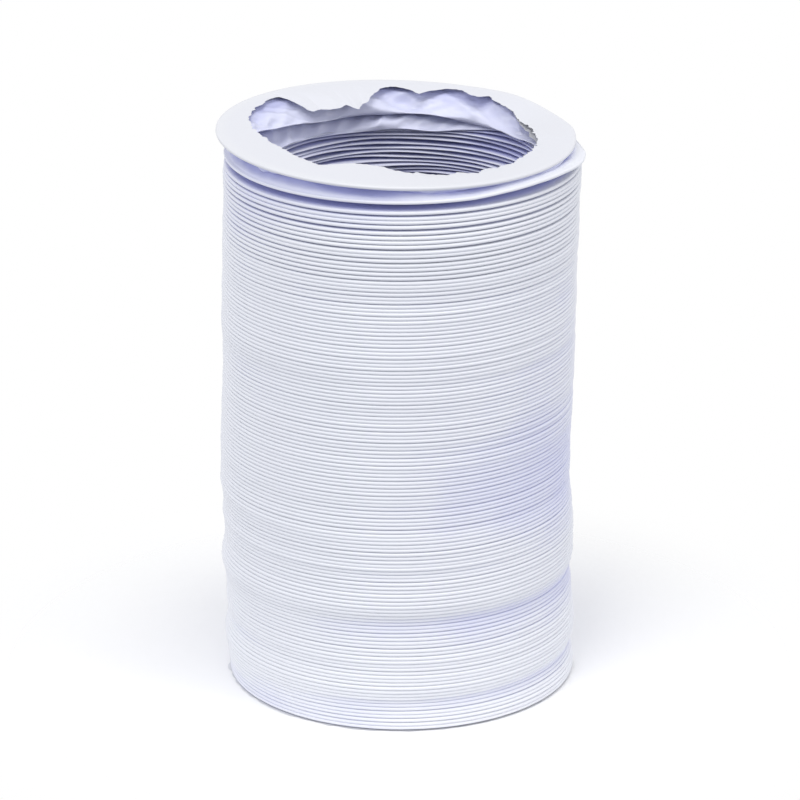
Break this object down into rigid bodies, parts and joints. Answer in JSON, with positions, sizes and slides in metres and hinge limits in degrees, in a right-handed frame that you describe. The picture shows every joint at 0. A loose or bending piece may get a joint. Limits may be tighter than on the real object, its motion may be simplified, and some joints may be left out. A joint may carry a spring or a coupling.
{
  "type": "flexible air duct",
  "caption": "Round flexible air duct of white PVC film pleated over a spring steel wire coil, packed flat and standing on its end.",
  "frame": {"origin": "centre of the duct's standing end, on the floor", "axes": "+Z along the duct's axis, up; the end turn is lifted on the -X side; -Y is the front"},
  "size_m": [0.1043, 0.1042, 0.1696],
  "materials": {
    "pvc_film": "thin glossy milky PVC film with fine creases",
    "steel_wire": "drawn spring steel wire"
  },
  "bodies": {
    "stack_01": {"bottom_cut_flap": "pvc_film", "film_section_01": "pvc_film", "wire_section_01": "steel_wire"},
    "stack_02": {"film_section_02": "pvc_film", "wire_section_02": "steel_wire"},
    "stack_03": {"film_section_03": "pvc_film", "wire_section_03": "steel_wire"},
    "stack_04": {"film_section_04": "pvc_film", "wire_section_04": "steel_wire"},
    "stack_05": {"film_section_05": "pvc_film", "wire_section_05": "steel_wire"},
    "stack_06": {"film_section_06": "pvc_film", "wire_section_06": "steel_wire"},
    "stack_07": {"film_section_07": "pvc_film", "wire_section_07": "steel_wire"},
    "stack_08": {"film_section_08": "pvc_film", "wire_section_08": "steel_wire"},
    "stack_09": {"film_section_09": "pvc_film", "wire_section_09": "steel_wire"},
    "stack_10": {"film_section_10": "pvc_film", "wire_section_10": "steel_wire"},
    "stack_11": {"film_section_11": "pvc_film", "wire_section_11": "steel_wire"},
    "stack_12": {"film_section_12": "pvc_film", "wire_section_12": "steel_wire"},
    "stack_13": {"film_section_13": "pvc_film", "wire_section_13": "steel_wire"},
    "stack_14": {"film_section_14": "pvc_film", "wire_section_14": "steel_wire"},
    "stack_15": {"film_section_15": "pvc_film", "wire_section_15": "steel_wire"},
    "end_turn": {"end_turn_film": "pvc_film", "end_turn_wire": "steel_wire", "open_pleat_film": "pvc_film"}
  },
  "joints": [
    {"name": "stretch_01", "type": "slide", "parent": "stack_01", "child": "stack_02", "axis": [0, 0, 1], "range_m": [0, 0.34015]},
    {"name": "stretch_02", "type": "slide", "parent": "stack_02", "child": "stack_03", "axis": [0, 0, 1], "range_m": [0, 0.20952]},
    {"name": "stretch_03", "type": "slide", "parent": "stack_03", "child": "stack_04", "axis": [0, 0, 1], "range_m": [0, 0.20952]},
    {"name": "stretch_04", "type": "slide", "parent": "stack_04", "child": "stack_05", "axis": [0, 0, 1], "range_m": [0, 0.26185]},
    {"name": "bend_05", "type": "hinge", "parent": "stack_05", "child": "stack_06", "pos_m": [-0.05212, 0, 0.05253], "axis": [0, -1, 0], "range_deg": [0, 45]},
    {"name": "stretch_06", "type": "slide", "parent": "stack_06", "child": "stack_07", "axis": [0, 0, 1], "range_m": [0, 0.26185]},
    {"name": "stretch_07", "type": "slide", "parent": "stack_07", "child": "stack_08", "axis": [0, 0, 1], "range_m": [0, 0.26185]},
    {"name": "bend_08", "type": "hinge", "parent": "stack_08", "child": "stack_09", "pos_m": [0, 0.05212, 0.08398], "axis": [-1, 0, 0], "range_deg": [0, 45]},
    {"name": "stretch_09", "type": "slide", "parent": "stack_09", "child": "stack_10", "axis": [0, 0, 1], "range_m": [0, 0.26185]},
    {"name": "stretch_10", "type": "slide", "parent": "stack_10", "child": "stack_11", "axis": [0, 0, 1], "range_m": [0, 0.26185]},
    {"name": "bend_11", "type": "hinge", "parent": "stack_11", "child": "stack_12", "pos_m": [-0.05212, 0, 0.11543], "axis": [0, -1, 0], "range_deg": [0, 45]},
    {"name": "stretch_12", "type": "slide", "parent": "stack_12", "child": "stack_13", "axis": [0, 0, 1], "range_m": [0, 0.26185]},
    {"name": "stretch_13", "type": "slide", "parent": "stack_13", "child": "stack_14", "axis": [0, 0, 1], "range_m": [0, 0.20952]},
    {"name": "stretch_14", "type": "slide", "parent": "stack_14", "child": "stack_15", "axis": [0, 0, 1], "range_m": [0, 0.3011]},
    {"name": "end_turn_lift", "type": "hinge", "parent": "stack_15", "child": "end_turn", "pos_m": [0.05212, 0, 0.16112], "axis": [0, 1, 0], "range_deg": [-4, 7], "stiffness_Nm_per_rad": 0.05, "springref_deg": 1.27}
  ],
  "couplings": [
    {"joint": "stretch_02", "follows": "stretch_01", "ratio": 0.61538},
    {"joint": "stretch_03", "follows": "stretch_01", "ratio": 0.61538},
    {"joint": "stretch_04", "follows": "stretch_01", "ratio": 0.76923},
    {"joint": "stretch_06", "follows": "stretch_01", "ratio": 0.76923},
    {"joint": "stretch_07", "follows": "stretch_01", "ratio": 0.76923},
    {"joint": "stretch_09", "follows": "stretch_01", "ratio": 0.76923},
    {"joint": "stretch_10", "follows": "stretch_01", "ratio": 0.76923},
    {"joint": "stretch_12", "follows": "stretch_01", "ratio": 0.76923},
    {"joint": "stretch_13", "follows": "stretch_01", "ratio": 0.61538},
    {"joint": "stretch_14", "follows": "stretch_01", "ratio": 0.88462}
  ]
}
